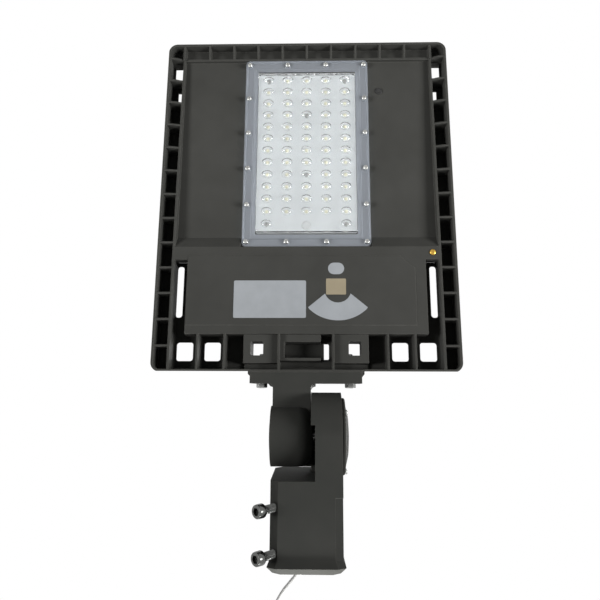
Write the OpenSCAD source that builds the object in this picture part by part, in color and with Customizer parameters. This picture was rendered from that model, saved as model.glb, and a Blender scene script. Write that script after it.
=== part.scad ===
// Shoebox area light on a slip fitter, standing on its pole.
// The origin is the centre of the fitter's mouth, +Z runs up the pole, and the lit face looks along -Y.

/* [Housing] */
// Width of the housing, left to right
housing_w = 320; // [316:1:340]
// Height of the housing, from the arm to the far end
housing_h = 381; // [378:1:400]
// Depth of the ribbed rim, front to back
rim_depth = 24; // [23.5:0.5:28]
// Thickness of the rim's outer and inner walls
rim_wall = 2.5; // [2:0.5:3]
// Width of the hollow between the rim's outer and inner walls
rim_hollow = 14; // [12:1:16]
// Radius of the housing's corners
corner_r = 10; // [6:1:12]
// Thickness of the ribs across the rim
rib_t = 2; // [1.5:0.5:3]
// Distance between ribs along the sides
side_pitch = 28; // [26:1:30]
// Depth of the rim's floor at the sides and at the arm's end
floor_depth = 20.5; // [18:0.5:21]
// Depth of the rim's floor at the far end
far_floor_depth = 11.5; // [10:0.5:14]
// Thickness of the rim's floor
floor_t = 2.5; // [2:0.5:3]

/* [LED bay] */
// Depth of the LED plate behind the rim's front edge
bay_depth = 9.5; // [8.5:0.5:11]
// Thickness of the LED plate
plate_t = 4; // [3:0.5:5]
// Depth of the heat-sink fins behind the LED plate
fin_depth = 37; // [25:1:40]
// Thickness of a fin
fin_t = 2.2; // [1.6:0.2:3]
// Distance between fins
fin_pitch = 14; // [10:1:20]

/* [Lens module] */
// Width of the lens cover
cover_w = 140; // [138:1:144]
// Gap between the lens cover and the far end's inner wall
cover_gap = 3.5; // [2:0.5:6]
// Margin of the lens cover around its LED board, both sides together
board_margin_x = 29.5; // [28:0.5:34]
// Height of the lens cover that its rows of lenses leave free
lens_free_h = 51.4; // [50:0.2:60]
// Radius of a lens where it meets the cover
lens_r = 5.4; // [4.5:0.1:6]
// Height of a lens above the cover
lens_rise = 3; // [2:0.5:4]

/* [Driver box] */
// Gap between the driver box and the rim's inner wall, at each side
box_gap = 14.5; // [12:0.5:17]
// Height of the driver box
box_h = 81.3; // [80:0.1:84]
// Depth of the driver box without its lid
box_depth = 51; // [48:1:56]
// Wall of the driver box
box_wall = 3; // [2.5:0.5:4]
// Thickness of the rear lid
lid_t = 3; // [2:0.5:4]

/* [Arm] */
// Width of the arm's plate
arm_plate_w = 114.6; // [110:0.2:118]
// Depth of the arm's plate, front to back
arm_plate_d = 46; // [44:1:48]
// Thickness of the arm's plate beside the neck
arm_plate_t = 11.5; // [10:0.5:12]
// Width of the neck
neck_w = 38.6; // [36:0.2:40]
// Depth of the neck
neck_d = 30; // [26:1:30]
// Radius of the arm's barrel
barrel_r = 30; // [29:0.5:31]
// Length of the barrel
barrel_l = 42; // [41:0.5:44]
// Height of the housing above the tilt axis
arm_reach = 63.5; // [62:0.5:70]
// How far the housing's middle lies to the left of the pole's axis
head_offset = 1.5; // [0:0.5:3]

/* [Slip fitter] */
// Radius of the bore for the pole
bore_r = 30.75; // [30.5:0.05:31]
// Thickness of the body above the bore, at the front
roof_t = 8.5; // [8:0.5:16]
// Width of the fitter's body
fitter_w = 68; // [67:1:72]
// Gap between the barrel and the body's shoulder, at the front
shoulder_gap = 11.5; // [11:0.5:13]
// Height of the tilt axis above the mouth
pivot_h = 122; // [121.5:0.5:128]
// Radius of the ear that carries the tilt bolt
ear_r = 43.5; // [42:0.5:44]
// Thickness of the ear
ear_t = 26.1; // [26:0.1:27]
// Radius of the wiring cap on the ear
cap_r = 38; // [37:0.5:40]
// Distance of the upper clamp screw below the bore's end
clamp_drop = 10.5; // [9:0.5:14]

/* [Cable] */
// Diameter of the supply cable
cable_d = 8; // [6:0.5:8.5]

/* [Hidden] */
$fn = 64;

// Small amount by which a cut runs past the face it opens
past = 1;
// Gap between faces that pass each other without touching
clear = 0.3;
// Radial clearance of the tilt bolt in the barrel
pivot_fit = 0.08;

// Where the pieces lie. Depth grows along +Y.
pivot_y = 9;
rim_y = -1;
head_x = -head_offset;
base_z = pivot_h + arm_reach;
half_w = housing_w / 2;
inner_x = half_w - rim_wall - rim_hollow;
bay_x = inner_x - rim_wall;
end_row_h = 39.5;
box_top_h = end_row_h + box_h;
strip_h = 13;
bay_base_h = box_top_h + strip_h;
inner_top_h = housing_h - rim_wall - rim_hollow;
// The bay's width holds ten pitches of the end ribs
end_pitch = bay_x / 5;
side_rib_count = floor((inner_top_h - 1.5 * rim_wall) / side_pitch);
plate_y = rim_y + bay_depth;
plate_back_y = plate_y + plate_t;
floor_y = rim_y + floor_depth;
far_floor_y = rim_y + far_floor_depth;
rim_back_y = rim_y + rim_depth;
fin_y = plate_back_y + fin_depth;
// How far the inner wall's edge lies behind the rim at the far end
edge_drop = 5;

// Lens module, from the middle of its cover
cover_base_h = bay_base_h + 1.2;
cover_h = inner_top_h - cover_gap - cover_base_h;
module_h = cover_base_h + cover_h / 2;
module_clear = 1;
lens_cols = 5;
lens_rows = 12;
cover_front_y = plate_y - 5.5;
flange_t = 4.2;
flange_back_y = cover_front_y + flange_t;
window_front_y = cover_front_y + 1;
window_back_y = window_front_y + 1.5;
board_margin_h = 34;
board_w = cover_w - board_margin_x;
board_h = cover_h - board_margin_h;
board_t = 1.6;
pad_t = 0.5;
board_h0 = module_h - 0.5;
lens_side = 11.65;
lens_pitch_x = (board_w - 2 * lens_side) / (lens_cols - 1);
lens_pitch_z = (cover_h - lens_free_h) / lens_rows;
screw_inset = 4.5;
screw_inset_h = 5.75;
screw_rows = 6;
screw_edge_x = cover_w / 2 - screw_inset;
screw_x = [-screw_edge_x, -screw_edge_x / 3, screw_edge_x / 3, screw_edge_x];
screw_pitch = (cover_h - 2 * screw_inset_h) / (screw_rows - 1);
m3_r = 1.5;
m3_head_r = 2.9;
m3_head_t = 2;

// Driver box, from the front
box_x = bay_x - box_gap;
box_front_y = rim_y;
box_back_y = box_front_y + box_depth;
cavity_x = box_x - box_wall;
cavity_h0 = end_row_h + box_wall;
cavity_h1 = box_top_h - box_wall;
cavity_y = box_front_y + box_wall;
lid_gasket_t = 1.5;
lid_y = box_back_y + lid_gasket_t;
boss_r = 5;
m4_r = 2;
m4_head_r = 3.8;
m4_head_t = 2.4;

// Arm
arm_front_y = rim_y + 0.5;
plate_edge_z = base_z - arm_plate_t;
// The plate thins towards the back, apart from the seats of its bolts
plate_slope = 4.4;
seat_z = plate_edge_z + 2.4;
neck_fillet = 5;
neck_x0 = head_x - 33.5;
neck_x1 = neck_x0 + neck_w;
neck_hole_x = [neck_x0 + 4, neck_x0 + 33];
neck_hole_y = [pivot_y + 5, pivot_y + neck_d - 5];
bolt_inset = 10.8;
bolt_x = arm_plate_w / 2 - bolt_inset;
bolt_y = pivot_y + 13;
// How far an arm bolt's end stands into its window
bolt_end = 3.5;
m6_r = 3;
m6_head_r = 5.75;
m6_head_t = 4;
washer_r = 6;
washer_t = 1.2;
tooth_count = 24;
tooth_h = 1;
tooth_r0 = 11;
tooth_r1 = 15;

// Knuckle, along X
ear_x1 = fitter_w / 2;
ear_x0 = ear_x1 - ear_t;
barrel_x1 = ear_x0 - clear - 2 * tooth_h;
barrel_x0 = barrel_x1 - barrel_l;
barrel_round = 15;
barrel_web = 12;
rim_gap = 1.2;
pivot_r = 10;
pivot_bore_r = 5;
chamber_r = 30;
chamber_x = ear_x0 + 8;
pivot_head_t = 4.5;
pivot_washer_t = 2;
pivot_nut_t = 9;

// Fitter body
body_x = fitter_w / 2;
body_y0 = pivot_y - ear_r;
body_y1 = pivot_y + ear_r;
shoulder_h = pivot_h - barrel_r - shoulder_gap;
bore_l = shoulder_h - roof_t;
shoulder_rise = 9.5;
chamfer = 7.5;
flare = 2.4;
flare_h0 = 12;
flare_h1 = 5.5;
lip_in = 2.6;
lower_clamp_h = 21.5;
upper_clamp_h = bore_l - clamp_drop;
clamp_r = 4;
clamp_tilt = 6;
clamp_turn = 225;
clamp_tip = bore_r + 1.4;
clamp_shank = 24.5;
channel_r = cable_d / 2 + 1;

// Route of the cable inside the fitter, from the mouth to the tilt axis
fitter_route = [
    [-3.5, 39, 0], [-1.3, 38.6, 9], [7.3, 37, pivot_h - 78], [16.6, 35.3, pivot_h - 40],
    [20.3, 34.7, pivot_h - 25], [23, 34.2, pivot_h - 14], [25.5, 31, pivot_h - 5.5],
    [27.5, 24, pivot_h - 0.5], [27, 15, pivot_h + 0.5],
    [21, 9.2, pivot_h], [14, pivot_y, pivot_h], [6.7, pivot_y, pivot_h]
];
// Route of the free cable, hanging from the mouth
free_route = [
    [-3.7, 39.05, -0.8], [-5.6, 39.4, -8], [-9.3, 40, -16], [-16, 41, -24], [-24, 42, -34],
    [-31, 43, -48], [-35.5, 44, -68], [-37.5, 44, -94], [-38, 44, -126], [-37, 44, -158],
    [-36, 44, -190], [-35.5, 44, -219], [-35.5, 44, -248]
];
core_r = 1.3;
core_l = 18;

cast_grey = [0.29, 0.29, 0.27];
dark_grey = [0.2, 0.2, 0.19];
steel_grey = [0.62, 0.62, 0.62];
rubber_black = [0.08, 0.08, 0.08];
pale = [0.86, 0.87, 0.88];

// A box between two corners, given as ranges
module span(x, y, z) {
    translate([x[0], y[0], z[0]]) cube([x[1] - x[0], y[1] - y[0], z[1] - z[0]]);
}

// A box in the head's own frame: x from its middle, z from the housing's end
module head_span(x, y, h) {
    translate([head_x, 0, base_z]) span(x, y, h);
}

// A round bar along Y, in the head's own frame
module head_bar(x, h, y0, y1, r) {
    translate([head_x + x, y0, base_z + h]) rotate([-90, 0, 0]) cylinder(h = y1 - y0, r = r);
}

// The same shape on the left and the right of the head's middle
module both_sides() {
    children();
    translate([2 * head_x, 0, 0]) mirror([1, 0, 0]) children();
}

// A profile drawn in Y and Z, pushed along X
module push_x(x, points) {
    translate([x[0], 0, 0]) rotate([90, 0, 90]) linear_extrude(x[1] - x[0]) polygon(points);
}

// A round bar along X on the tilt axis
module axle_bar(x0, x1, r) {
    translate([x0, pivot_y, pivot_h]) rotate([0, 90, 0]) cylinder(h = x1 - x0, r = r);
}

// A rectangle with rounded corners, drawn about the head's middle
module round_rect(w, h, r) {
    square([w - 2 * r, h], center = true);
    square([w, h - 2 * r], center = true);
    for (sx = [-1, 1]) {
        for (sy = [-1, 1]) {
            translate([sx * (w / 2 - r), sy * (h / 2 - r)]) circle(r = r);
        }
    }
}

// A flat plate of rounded outline, standing in the head's own frame
module head_plate(x, h, w, l, r, y0, y1) {
    translate([head_x + x, y1, base_z + h]) rotate([90, 0, 0]) linear_extrude(y1 - y0) round_rect(w, l, r);
}

// A tube swept along a route of points
function unit(v) = v / norm(v);
function tangent(p, i) = unit(p[min(i + 1, len(p) - 1)] - p[max(i - 1, 0)]);
function carried(side, t) = unit(side - (side * t) * t);
function side_vectors(p, side, i = 0) =
    i == len(p) ? [] : concat([carried(side, tangent(p, i))], side_vectors(p, carried(side, tangent(p, i)), i + 1));
function eased(a, b, c, d, u) =
    0.5 * (2 * b + (c - a) * u + (2 * a - 5 * b + 4 * c - d) * u * u + (3 * b - a - 3 * c + d) * u * u * u);
function point_before(p) = 2 * p[0] - p[1];
function point_after(p) = 2 * p[len(p) - 1] - p[len(p) - 2];
function padded(p) = concat([point_before(p)], p, [point_after(p)]);
function smoothed(p, steps) = let (q = padded(p)) concat(
    [for (i = [1:len(p) - 1]) for (j = [0:steps - 1]) eased(q[i - 1], q[i], q[i + 1], q[i + 2], j / steps)],
    [p[len(p) - 1]]);

module tube(route, r, sides, steps) {
    path = smoothed(route, steps);
    side = side_vectors(path, [0, 1, 0.1]);
    rings = [for (i = [0:len(path) - 1]) for (k = [0:sides - 1])
        path[i] + r * (cos(360 * k / sides) * side[i] + sin(360 * k / sides) * cross(tangent(path, i), side[i]))];
    walls = [for (i = [0:len(path) - 2]) for (k = [0:sides - 1]) let (n = (k + 1) % sides)
        each [[i * sides + k, (i + 1) * sides + n, i * sides + n],
              [i * sides + k, (i + 1) * sides + k, (i + 1) * sides + n]]];
    first = [for (k = [0:sides - 1]) k];
    last = [for (k = [sides - 1:-1:0]) (len(path) - 1) * sides + k];
    polyhedron(rings, concat([first, last], walls));
}

// Outline of the whole rim, used to keep the rim's pieces inside its round corners
module rim_block(y0, y1) {
    head_plate(0, housing_h / 2, housing_w, housing_h, corner_r, y0, y1);
}

function drop_at(h) = edge_drop * max(0, h - box_top_h) / (inner_top_h - box_top_h);

module rim_walls() {
    difference() {
        rim_block(rim_y, rim_back_y);
        head_plate(0, housing_h / 2, housing_w - 2 * rim_wall, housing_h - 2 * rim_wall,
            corner_r - rim_wall, rim_y - past, rim_back_y + past);
    }
    both_sides() translate([head_x, 0, base_z]) push_x([bay_x, inner_x], [
        [rim_y, rim_wall], [rim_y, box_top_h], [rim_y + edge_drop, inner_top_h],
        [rim_back_y, inner_top_h], [rim_back_y, rim_wall]
    ]);
    head_span([-inner_x, inner_x], [rim_y + edge_drop, rim_back_y], [inner_top_h - rim_wall, inner_top_h]);
}

module rim_floors() {
    intersection() {
        rim_block(rim_y, rim_back_y);
        union() {
            both_sides() head_span([bay_x, half_w], [floor_y, floor_y + floor_t], [0, inner_top_h]);
            head_span([-half_w, half_w], [far_floor_y, far_floor_y + floor_t], [inner_top_h - rim_wall, housing_h]);
            both_sides() head_span([0, bay_x + past], [floor_y, floor_y + floor_t], [0, end_row_h + past]);
            both_sides() head_span([box_x - past, bay_x + past], [floor_y, floor_y + floor_t],
                [end_row_h, box_top_h + past]);
        }
    }
}

// One rib of the sides, whose top edge falls from the outer wall to the inner one
module side_rib(h) {
    drop = drop_at(h);
    translate([head_x, 0, base_z + h - rib_t / 2]) linear_extrude(rib_t) polygon([
        [inner_x - rim_wall / 2, rim_y + drop], [half_w - rim_wall - rim_hollow / 2, rim_y + drop / 4],
        [half_w - rim_wall / 2, rim_y], [half_w - rim_wall / 2, floor_y + floor_t],
        [inner_x - rim_wall / 2, floor_y + floor_t]
    ]);
}

module ribs() {
    both_sides() for (i = [0:side_rib_count]) side_rib(inner_top_h - rim_wall / 2 - i * side_pitch);
    for (i = [-4:4]) {
        translate([head_x + i * end_pitch - rib_t / 2, 0, base_z]) push_x([0, rib_t], [
            [rim_y + edge_drop, inner_top_h - rim_wall / 2], [rim_y, housing_h - rim_wall / 2],
            [far_floor_y + floor_t, housing_h - rim_wall / 2], [far_floor_y + floor_t, inner_top_h - rim_wall / 2]
        ]);
    }
    both_sides() head_span([inner_x - rim_wall, inner_x], [rim_y + edge_drop / 2, far_floor_y + floor_t],
        [inner_top_h - rim_wall, housing_h - rim_wall / 2]);
    both_sides() for (i = [1, 3, 4]) {
        head_span([i * end_pitch - rib_t / 2, i * end_pitch + rib_t / 2], [rim_y, floor_y + floor_t],
            [rim_wall / 2, end_row_h + past]);
    }
}

// Boss over each arm bolt in the end row, with the window that its bolt ends in
block_x = [bolt_x - 18, bolt_x + 18.5];
block_window_x = [bolt_x - 2.1, bolt_x + 11.1];
block_window_h = [17.7, 32.5];

module end_blocks() {
    difference() {
        both_sides() head_span(block_x, [rim_y + 5, rim_back_y], [rim_wall / 2, end_row_h + past]);
        // Recess between the blocks and the lip of the end wall
        both_sides() head_span([end_pitch + rib_t / 2, block_x[1] + past], [rim_y, recess_y], [rim_wall, recess_h]);
    }
    head_span([-end_pitch, centre_slot_x[1] - 8.7], [rim_y + 5, floor_y + past], [recess_h + 2.6, end_row_h + past]);
}
recess_y = 16;
recess_h = 9.7;

// Outside of the arm's pad the end wall has draft, and thins its front edge
wall_draft = [[rim_y - past, -past], [rim_y - past, 2], [rim_y, 2], [rim_y + 1.1, 0.9], [rim_back_y + past, 3.5],
    [rim_back_y + past, -past]];
wall_inside = [[rim_y, rim_wall - 0.1], [rim_y, rim_wall + 0.4], [rim_back_y, rim_wall + 3],
    [rim_back_y, rim_wall - 0.1]];

module end_wall_inside() {
    intersection() {
        rim_block(rim_y, rim_back_y);
        both_sides() translate([head_x, 0, base_z]) push_x([pad_x + 0.3, half_w - rim_wall / 2], wall_inside);
    }
}

// Pad behind the end wall that the arm's plate seats on, its two webs, and the cable's duct
pad_x = arm_plate_w / 2 + 0.7;
pad_wall = 6;
pad_back_y = pivot_y + arm_plate_d;
duct_x = [-29, 19];
duct_y = [25, box_back_y];
web_t = 2.5;
// Hole by which the cable passes from the arm into the duct
pad_hole_x = [neck_x0 + 11, neck_x0 + 33];
pad_hole_y = [duct_y[0] + web_t, duct_y[1] - 6];

module arm_pad() {
    head_span([-pad_x, pad_x], [rim_y, pad_back_y], [0, rim_wall]);
    head_span([-pad_x, pad_x], [recess_y, pad_back_y], [0, pad_wall]);
    both_sides() head_span([pad_x + 1, pad_x + 1 + web_t], [floor_y, box_back_y], [0, end_row_h + past]);
    both_sides() head_span([pad_x - 1, pad_x + 1 + web_t], [floor_y, box_back_y], [0, pad_wall]);
    head_span(duct_x, duct_y, [pad_wall / 2, end_row_h + past]);
}

module led_plate() {
    head_span([-bay_x - past, bay_x + past], [plate_y, plate_back_y], [box_top_h - past, inner_top_h - past]);
    // Cove and strip between the LED plate and the driver box
    translate([head_x, 0, base_z]) push_x([-bay_x - past, bay_x + past], [
        [box_front_y, box_top_h - past], [box_front_y, bay_base_h], [plate_y + past, bay_base_h + 15],
        [plate_y + past, box_top_h - past]
    ]);
}

fin_top_h = inner_top_h - 6;
fin_side = bay_x - 15;
fin_slope_h = 70;
fin_count = floor(fin_side / fin_pitch);

module fins() {
    for (i = [-fin_count:fin_count]) {
        translate([head_x + i * fin_pitch, 0, base_z]) push_x([-fin_t / 2, fin_t / 2], [
            [plate_back_y - past, box_top_h - past], [box_back_y - 4, box_top_h - past],
            [min(fin_y, box_back_y - 3), box_top_h + 1], [fin_y, box_top_h + 5], [fin_y, fin_top_h - fin_slope_h],
            [rim_back_y, fin_top_h], [plate_back_y - past, fin_top_h]
        ]);
    }
}

// Boss behind the LED plate, drilled for the LED leads
lead_boss_x = 9;
lead_h = board_h0 - board_h / 2 + 8.5;
lead_y = plate_back_y + 7;
lead_r = 4;

module lead_boss() {
    head_span([-lead_boss_x, lead_boss_x], [plate_back_y - past, lead_y + 8], [box_top_h - past, lead_h + 9]);
}

module driver_box() {
    difference() {
        head_span([-box_x, box_x], [box_front_y, box_back_y], [end_row_h, box_top_h]);
        head_span([-cavity_x, cavity_x], [cavity_y, box_back_y + past], [cavity_h0, cavity_h1]);
    }
    for (p = lid_bosses) head_bar(p[0], p[1], cavity_y - past, box_back_y, boss_r);
    for (p = driver_holes) head_bar(p[0], p[1], cavity_y - past, driver_y, boss_r - 1);
    // Low raised panel that carries the labels, with its upper right corner cut
    translate([head_x, box_front_y + past, base_z]) rotate([90, 0, 0]) linear_extrude(past + panel_t) polygon([
        [-box_x + 1, panel_h0], [-box_x + 1, panel_h1], [panel_x1 - 15, panel_h1], [panel_x1 - 9, panel_h1 - 7],
        [panel_x1, panel_h1 - 13], [panel_x1, panel_h0]
    ]);
}

panel_t = 0.6;
panel_x1 = box_x - 11.5;
panel_h0 = end_row_h + 9;
panel_h1 = box_top_h + 3;
lid_bosses = [for (i = [-1.5:1:1.5]) for (h = [cavity_h0 + 2.2, cavity_h1 - 2.2]) [i * (cavity_x - 2.2) / 1.5, h]];

// LED driver and what is wired to it, inside the box
driver_x = [-cavity_x + 15.5, cavity_x - 73.5];
driver_h = [cavity_h0 + 25.5, cavity_h1 - 7.8];
driver_y = cavity_y + 4;
driver_d = 30;
driver_holes = [for (x = [driver_x[0] - 6, driver_x[1] + 6]) [x, (driver_h[0] + driver_h[1]) / 2]];
terminal_x = [cavity_x - 63.5, cavity_x - 27.5];
terminal_h = [cavity_h0 + 3.5, cavity_h0 + 19.5];
surge_x = [cavity_x - 57.5, cavity_x - 15.5];
surge_h = [cavity_h0 + 42, cavity_h1 - 7.3];

// The gland in the box's lower wall
gland_x = -8;
gland_y = 37.5;
gland_r = 8;
gland_z = base_z + end_row_h;

// Route inside the head, from the tilt axis to the terminal block
terminal_mid_z = base_z + (terminal_h[0] + terminal_h[1]) / 2;
head_route = [
    [6.4, pivot_y, pivot_h], [0, pivot_y, pivot_h], [-18, pivot_y, pivot_h], [-23.5, 10.5, pivot_h + 2],
    [-26.5, 14.5, pivot_h + 9], [-25.5, 19, pivot_h + 21], [-19, 23, base_z - 27.5], [-12, 27, base_z - 15.5],
    [-10, 33, base_z - 2.5], [-9.5, gland_y - 1, base_z + 11.5], [-9.5, gland_y, base_z + 22.5],
    [-9.5, gland_y, gland_z + 9], [-8, 37, gland_z + 16], [0, 35, gland_z + 21.5], [14, 29, gland_z + 22],
    [30, 20, gland_z + 19], [terminal_x[0] - 16, 12, terminal_mid_z + 1],
    [terminal_x[0] - 8, cavity_y + 8, terminal_mid_z], [terminal_x[0] - 2.2, cavity_y + 8, terminal_mid_z]
];

// Small openings of the rim
side_windows = [[inner_top_h - 17, inner_top_h - 2, 1.5], [inner_top_h - 46, inner_top_h - 34, 6]];
end_windows = [[3 * end_pitch + 6.4, 4 * end_pitch - 4.4], [4 * end_pitch + 7.7, bay_x - 2.6]];
end_window_h = [13.5, 33.5];
slot_x = [box_x + 7.5, bay_x + 0.5];
slot_h = [end_row_h + 21, box_top_h - 3];
centre_slot_x = [-22.5, 24.2];
centre_slot_h = [15.1, 31.9];
vent_x = cover_w / 2 + 13;
vent_h = inner_top_h - 40.5;
vent_r = 4;
vent_stem_r = 3;
earth_x = bay_x - 6.5;
earth_head_r = 3.4;
earth_h = bay_base_h - 6.5;

module through_floor(x, h, r) {
    head_plate((x[0] + x[1]) / 2, (h[0] + h[1]) / 2, x[1] - x[0], h[1] - h[0], r, rim_y, rim_back_y + past);
}

module housing_openings() {
    both_sides() for (w = side_windows) {
        head_span([inner_x + 1, half_w - rim_wall - w[2]], [floor_y - past, floor_y + floor_t + past], [w[0], w[1]]);
    }
    both_sides() for (x = end_windows) through_floor(x, end_window_h, 3);
    both_sides() through_floor(block_window_x, block_window_h, 2);
    through_floor(centre_slot_x, centre_slot_h, 1.5);
    both_sides() through_floor(slot_x, slot_h, 3.2);
    // Pocket for the lens module in the cove
    head_span([-cover_w / 2 - module_clear, cover_w / 2 + module_clear], [rim_y - past, plate_y],
        [module_h - cover_h / 2 - module_clear, module_h]);
}

// Places of the lens cover's screws: a full row at each end and one screw at each side between
function is_end(i) = i == 0 || i == screw_rows - 1;
screw_spots = [for (i = [0:screw_rows - 1]) for (x = screw_x) if (is_end(i) || abs(x) > 50)
    [x, module_h + (i - (screw_rows - 1) / 2) * screw_pitch]];

module housing_holes() {
    for (p = screw_spots) head_bar(p[0], p[1], plate_y - past, plate_y + 3.2, m3_r + 0.1);
    for (p = lid_bosses) head_bar(p[0], p[1], box_back_y - 12, box_back_y + past, m4_r + 0.1);
    for (p = driver_holes) head_bar(p[0], p[1], cavity_y, driver_y + past, m4_r + 0.1);
    head_bar(vent_x, vent_h, plate_y - past, plate_back_y + past, vent_stem_r + 0.1);
    head_bar(earth_x, earth_h, rim_y - past, rim_y + 8, m4_r + 0.1);
    // Drilling for the LED leads: up from the box, then out through the plate
    translate([head_x, lead_y, base_z + cavity_h1 - past]) cylinder(h = lead_h - cavity_h1 + past + lead_r, r = lead_r);
    head_bar(0, lead_h, plate_y - past, lead_y, lead_r);
    // Duct behind the end row, and the holes that the cable enters and leaves it by
    head_span([duct_x[0] + web_t, duct_x[1] - web_t], [duct_y[0] + web_t, duct_y[1] - web_t],
        [pad_wall, end_row_h]);
    translate([head_x + gland_x, gland_y, base_z + end_row_h - 2 * past]) {
        cylinder(h = box_wall + 3 * past, r = gland_r + 0.2);
    }
    span(pad_hole_x, pad_hole_y, [base_z - past, base_z + pad_wall + past]);
    both_sides() translate([head_x + bolt_x, bolt_y, base_z - past]) {
        cylinder(h = block_window_h[0] + bolt_end + 2 * past, r = m6_r + 0.1);
    }
}

module housing() {
    color(cast_grey) difference() {
        union() {
            difference() {
                union() {
                    rim_walls();
                    rim_floors();
                    ribs();
                    end_blocks();
                    end_wall_inside();
                    led_plate();
                }
                housing_openings();
                both_sides() translate([head_x, 0, base_z]) push_x([pad_x + 0.3, half_w + past], wall_draft);
            }
            fins();
            lead_boss();
            driver_box();
            arm_pad();
        }
        housing_holes();
    }
}

module thermal_pad() {
    color("silver") difference() {
        head_plate(0, board_h0, board_w, board_h, 2, plate_y - pad_t, plate_y);
        head_bar(0, lead_h, plate_y - past - pad_t, plate_y + past, lead_r);
    }
}

board_y = plate_y - pad_t - board_t;

module led_board() {
    color(pale) difference() {
        head_plate(0, board_h0, board_w, board_h, 2, board_y, board_y + board_t);
        head_bar(0, lead_h, board_y - past, plate_y, lead_r);
    }
}

// Middles of the lenses: the full rows, then the two outer ones of the last row
first_row_h = cover_base_h + cover_h - 24.7;
lens_spots = concat(
    [for (r = [0:lens_rows - 1]) for (c = [0:lens_cols - 1])
        [(c - (lens_cols - 1) / 2) * lens_pitch_x, first_row_h - r * lens_pitch_z]],
    [for (s = [-1, 1]) [s * (lens_cols - 1) / 2 * lens_pitch_x, first_row_h - lens_rows * lens_pitch_z]]);

module leds() {
    color("khaki") for (p = lens_spots) {
        head_span([p[0] - 2.5, p[0] + 2.5], [board_y - 0.6, board_y], [p[1] - 2.5, p[1] + 2.5]);
    }
}

gasket_w = [board_w + 8, board_h + 8];

module lens_gasket() {
    color("white") difference() {
        head_plate(0, board_h0, gasket_w[0], gasket_w[1], 4, flange_back_y, plate_y);
        head_plate(0, board_h0, gasket_w[0] - 6, gasket_w[1] - 6, 2, flange_back_y - past, plate_y + past);
    }
}

dome_r = (lens_r * lens_r + lens_rise * lens_rise) / (2 * lens_rise);

// One lens: the cap of a sphere that stands out of the cover
module lens(x, h) {
    translate([head_x + x, window_front_y + 0.5, base_z + h]) rotate([90, 0, 0]) intersection() {
        translate([0, 0, lens_rise + 0.5 - dome_r]) sphere(r = dome_r);
        cylinder(h = lens_rise + past, r = lens_r);
    }
}

module lens_cover() {
    color([0.8, 0.84, 0.88, 0.5]) difference() {
        union() {
            difference() {
                head_plate(0, module_h, cover_w, cover_h, 5, cover_front_y, flange_back_y);
                head_plate(0, board_h0, board_w + 1, board_h + 1, 2, cover_front_y - past, window_front_y);
                head_plate(0, board_h0, board_w + 1, board_h + 1, 2, window_back_y, flange_back_y + past);
            }
            for (p = lens_spots) lens(p[0], p[1]);
        }
        for (p = screw_spots) head_bar(p[0], p[1], cover_front_y - past, flange_back_y + past, m3_r + 0.3);
    }
}

module lens_screws() {
    color(steel_grey) for (p = screw_spots) {
        head_bar(p[0], p[1], cover_front_y, plate_y + 3, m3_r);
        difference() {
            head_bar(p[0], p[1], cover_front_y - m3_head_t, cover_front_y, m3_head_r);
            head_bar(p[0], p[1], cover_front_y - m3_head_t - past, cover_front_y - 0.8, 1.3);
        }
    }
}

module breather_vent() {
    color(rubber_black) {
        head_bar(vent_x, vent_h, plate_y - 1.4, plate_y, vent_r);
        head_bar(vent_x, vent_h, plate_y - past, plate_back_y, vent_stem_r);
    }
}

module earth_screw() {
    color("goldenrod") {
        head_bar(earth_x, earth_h, rim_y, rim_y + 7, m4_r);
        difference() {
            head_bar(earth_x, earth_h, rim_y - 1.6, rim_y, earth_head_r);
            head_span([earth_x - 0.4, earth_x + 0.4], [rim_y - 3, rim_y - 0.9], [earth_h - 4, earth_h + 4]);
        }
    }
}

label_y = box_front_y - 0.6;
label_t = 0.2;
rating_size = [76, 40.2];
oval_size = [17, 12.7];
gold_size = [21, 17.3];

module rating_label() {
    color(pale) head_plate(-38, box_top_h - 44.6, rating_size[0], rating_size[1], 1.5,
        label_y - label_t, label_y);
}

module oval_badge() {
    color(pale) translate([head_x + 31.7, label_y, base_z + box_top_h - 11.4]) rotate([90, 0, 0]) {
        linear_extrude(label_t) round_rect(oval_size[0], oval_size[1], oval_size[1] / 2 - 0.05);
    }
}

module gold_label() {
    color("khaki") head_plate(31.5, box_top_h - 31.1, gold_size[0], gold_size[1], 1,
        label_y - label_t, label_y);
}

module fan_label() {
    color(pale) translate([head_x + 33.3, label_y, base_z + box_top_h - 38.3]) rotate([90, 0, 0]) {
        linear_extrude(label_t) difference() {
            intersection() {
                translate([0, 14]) circle(r = 43);
                polygon([[-31, -15], [-13.5, -0.5], [13.5, -0.5], [31, -15], [22, -33], [-22, -33]]);
            }
            translate([0, 4]) circle(r = 14);
        }
    }
}

module driver() {
    color("lightgray") difference() {
        union() {
            head_span(driver_x, [driver_y, driver_y + driver_d], driver_h);
            head_span([driver_x[0] - 11, driver_x[1] + 11], [driver_y, driver_y + 2],
                [driver_h[0] + 8, driver_h[1] - 8]);
        }
        for (p = driver_holes) head_bar(p[0], p[1], driver_y - past, driver_y + 2 + past, m4_r + 0.3);
    }
}

module driver_screws() {
    color(steel_grey) for (p = driver_holes) {
        head_bar(p[0], p[1], cavity_y + 0.5, driver_y + 2, m4_r);
        head_bar(p[0], p[1], driver_y + 2, driver_y + 2 + m4_head_t, m4_head_r);
    }
}

module surge_protector() {
    color("white") head_span(surge_x, [cavity_y, cavity_y + 22], surge_h);
}

module terminal_block() {
    color(pale) difference() {
        head_span(terminal_x, [cavity_y, cavity_y + 16], terminal_h);
        for (i = [-1:1]) {
            head_bar((terminal_x[0] + terminal_x[1]) / 2 + i * 11, (terminal_h[0] + terminal_h[1]) / 2,
                cavity_y + 13, cavity_y + 17, 2.6);
        }
    }
}

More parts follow.
